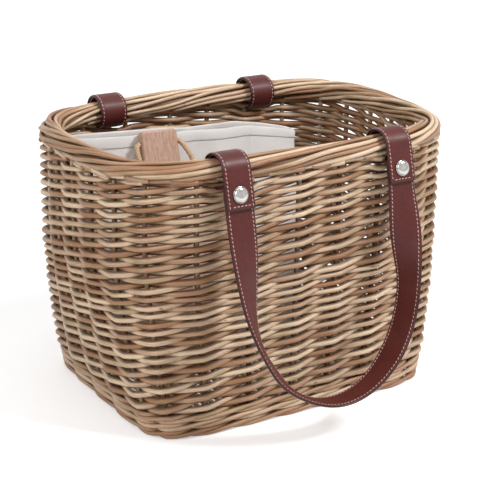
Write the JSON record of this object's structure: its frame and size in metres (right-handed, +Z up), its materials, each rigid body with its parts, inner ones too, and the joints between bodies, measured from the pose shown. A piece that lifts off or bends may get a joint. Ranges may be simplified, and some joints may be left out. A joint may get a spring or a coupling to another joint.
{
  "type": "picnic basket",
  "caption": "Open woven willow picnic basket with two swinging strap handles, a canvas bag and a paddle serving board inside.",
  "frame": {"origin": "on the floor under the middle of the basket", "axes": "+Z up, X along the basket's long side, -Y towards the front, where the visible handle hangs"},
  "size_m": [0.4058, 0.416, 0.2912],
  "materials": {
    "willow": "peeled and buffed willow rods",
    "stake_willow": "buffed willow rods",
    "strap_leather": "smooth red brown strap, stitched edges",
    "rivet_nickel": "polished nickel plate",
    "canvas": "natural cotton canvas",
    "board_wood": "sanded and oiled walnut",
    "jute": "twisted jute rope"
  },
  "bodies": {
    "basket": {"bottom_wale": "willow", "lower_weave": "willow", "upper_weave": "willow", "border": "willow", "base_weave": "willow", "base_stick_1": "stake_willow", "base_stick_2": "stake_willow", "base_stick_3": "stake_willow", "base_stick_4": "stake_willow", "base_stick_5": "stake_willow", "stake_01": "stake_willow", "stake_02": "stake_willow", "stake_03": "stake_willow", "stake_04": "stake_willow", "stake_05": "stake_willow", "stake_06": "stake_willow", "stake_07": "stake_willow", "stake_08": "stake_willow", "stake_09": "stake_willow", "stake_10": "stake_willow", "stake_11": "stake_willow", "stake_12": "stake_willow", "stake_13": "stake_willow", "stake_14": "stake_willow", "stake_15": "stake_willow", "stake_16": "stake_willow", "stake_17": "stake_willow", "stake_18": "stake_willow", "stake_19": "stake_willow", "stake_20": "stake_willow", "stake_21": "stake_willow", "stake_22": "stake_willow", "stake_23": "stake_willow", "stake_24": "stake_willow", "stake_25": "stake_willow", "stake_26": "stake_willow"},
    "front_handle": {"front_handle_strap": "strap_leather", "front_left_rivet_cap": "rivet_nickel", "front_left_rivet_back": "rivet_nickel", "front_right_rivet_cap": "rivet_nickel", "front_right_rivet_back": "rivet_nickel"},
    "back_handle": {"back_handle_strap": "strap_leather", "back_left_rivet_cap": "rivet_nickel", "back_left_rivet_back": "rivet_nickel", "back_right_rivet_cap": "rivet_nickel", "back_right_rivet_back": "rivet_nickel"},
    "bag": {"canvas_bag": "canvas"},
    "board": {"serving_board": "board_wood", "board_rope": "jute"}
  },
  "joints": [
    {"name": "front_handle_swing", "type": "hinge", "parent": "basket", "child": "front_handle", "pos_m": [0, -0.12711, 0.273], "axis": [-1, 0, 0], "range_deg": [-8, 165]},
    {"name": "back_handle_swing", "type": "hinge", "parent": "basket", "child": "back_handle", "pos_m": [0, 0.12711, 0.273], "axis": [1, 0, 0], "range_deg": [-8, 165]},
    {"name": "bag_lift", "type": "slide", "parent": "basket", "child": "bag", "axis": [0, 0, 1], "range_m": [0, 0.29]},
    {"name": "board_lift", "type": "slide", "parent": "bag", "child": "board", "axis": [0, 0, 1], "range_m": [0, 0.29]}
  ]
}
